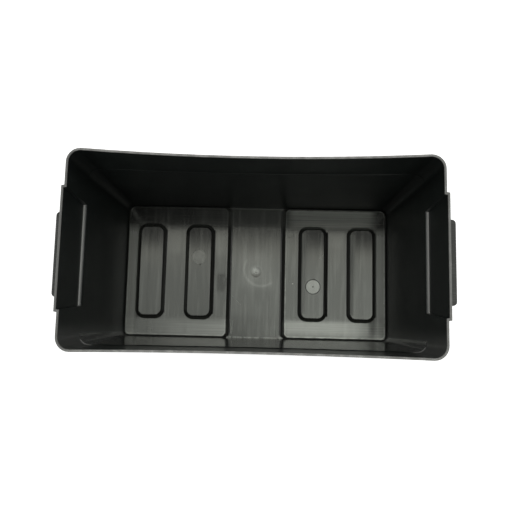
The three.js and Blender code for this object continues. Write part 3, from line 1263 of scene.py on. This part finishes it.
@dataclass(frozen=True)
class Softbox:
    """An even oblong lamp that faces straight down or, if aimed, the tub."""

    name: str
    place: tuple[float, float, float]
    size: Spot
    radiance: float
    tint: Colour = (0.95, 1.0, 0.89)
    aimed: bool = False

    def build(self) -> None:
        """Hangs the lamp."""
        light = bpy.data.lights.new(self.name, "AREA")
        light.shape = "RECTANGLE"
        light.size, light.size_y = self.size
        light.energy = self.radiance * math.pi * self.size[0] * self.size[1]
        light.color = self.tint
        lamp = bpy.data.objects.new(self.name, light)
        lamp.location = self.place
        if self.aimed:
            lamp.rotation_euler = Vector(self.place).to_track_quat("Z", "Y").to_euler()
        bpy.context.scene.collection.objects.link(lamp)


@dataclass(frozen=True)
class Studio:
    """Pale floor, soft lamps and the camera above the tub."""

    floor_half: float = 4.0
    ceiling: float = 3.0
    overhead: tuple[Softbox, ...] = (
        Softbox("left_panel", (-0.65, 0.10, ceiling), (0.9, 0.52), 2.3),
        Softbox("right_panel", (0.425, 0.10, ceiling), (1.25, 0.52), 3.15),
        Softbox("back_panel", (0.0, 0.4125, ceiling), (1.7, 0.105), 3.9, tint=(0.985, 1.0, 0.86)),
        Softbox("bright_panel", (0.365, -0.28, ceiling), (0.63, 0.24), 7.0),
    )
    side_reach: float = 1.7
    side_height: float = 1.5
    side_offsets: Spot = (0.3, 0.2)
    side_size: Spot = (1.0, 0.8)
    side_radiance: float = 2.6
    room_strength: float = 0.3
    paper: Colour = (0.9, 0.9, 0.9)
    paper_roughness: float = 0.9
    paper_glow: float = 0.68
    camera_place: tuple[float, float, float] = (0.0113, -0.0747, 0.8115)
    camera_degrees: tuple[float, float, float] = (6.957, 0.767, 1.329)
    focal_share: float = 600 / 510
    sensor_mm: float = 36.0

    def build(self) -> None:
        """Builds the floor, the lamps, the room and the camera."""
        self.lay_floor()
        for lamp in (*self.overhead, *self.side_lamps()):
            lamp.build()
        self.fill_room()
        self.hang_camera()

    def side_lamps(self) -> list[Softbox]:
        """Lists the lamps around the tub, which light its outside.

        Returns:
            The four lamps.
        """
        reach, (back, right) = self.side_reach, self.side_offsets
        spots = {
            "left": (-reach, back),
            "right": (reach, back),
            "back": (right, reach),
            "front": (-right, -reach),
        }
        looks = (self.side_size, self.side_radiance, WHITE, True)
        return [
            Softbox(f"{name}_softbox", (*spot, self.side_height), *looks) for name, spot in spots.items()
        ]

    def lay_floor(self) -> None:
        """Lays the pale floor."""
        mesh = bpy.data.meshes.new("floor")
        work = bmesh.new()
        bmesh.ops.create_grid(work, x_segments=1, y_segments=1, size=self.floor_half)
        work.to_mesh(mesh)
        work.free()
        floor = bpy.data.objects.new("floor", mesh)
        bpy.context.scene.collection.objects.link(floor)
        mesh.materials.append(self.paper_material())
        floor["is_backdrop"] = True

    def paper_material(self) -> bpy.types.Material:
        """Builds the floor's white paper, which glows a little for what sees it directly.

        Returns:
            The new material.
        """
        sheet = FinishSheet("floor_paper")
        rays = sheet.node("ShaderNodeLightPath", {}).outputs
        seen = sheet.sum("MAXIMUM", rays["Is Camera Ray"], rays["Is Glossy Ray"])
        seen = sheet.sum("MAXIMUM", seen, rays["Is Transmission Ray"])
        sheet.paint(base_color=(*self.paper, 1), roughness=self.paper_roughness)
        sheet.paint(emission_color=(*WHITE, 1), emission_strength=sheet.product(seen, self.paper_glow))
        return sheet.material

    def fill_room(self) -> None:
        """Fills the room with even light, and shows it white where the camera sees it."""
        world = bpy.data.worlds.new("room")
        world.use_nodes = True
        nodes, links = world.node_tree.nodes, world.node_tree.links
        background = nodes["Background"]
        background.inputs["Color"].default_value = (*WHITE, 1)
        rays = nodes.new("ShaderNodeLightPath").outputs
        strength = nodes.new("ShaderNodeMapRange")
        strength.inputs["To Min"].default_value = self.room_strength
        strength.inputs["To Max"].default_value = 1.0
        links.new(rays["Is Camera Ray"], strength.inputs["Value"])
        links.new(strength.outputs["Result"], background.inputs["Strength"])
        bpy.context.scene.world = world

    def hang_camera(self) -> None:
        """Hangs the camera as in the photograph."""
        data = bpy.data.cameras.new("camera")
        data.sensor_width = self.sensor_mm
        data.lens = self.focal_share * self.sensor_mm
        camera = bpy.data.objects.new("camera", data)
        camera.location = self.camera_place
        camera.rotation_euler = Euler([math.radians(turn) for turn in self.camera_degrees])
        bpy.context.scene.collection.objects.link(camera)
        bpy.context.scene.camera = camera


def main() -> None:
    """Builds the tub, the handles and the studio in order."""
    logging.basicConfig(level=logging.INFO)
    bpy.context.scene.view_settings.view_transform = "Standard"
    Tub().build()
    for side in Side:
        Handle(side).build()
    Studio().build()
    boxes = {"cad": packed_bounds, "visual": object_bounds()}
    {name: [list(low), list(high)] for name, (low, high) in boxes.items()}


if __name__ == "__main__":
    main()
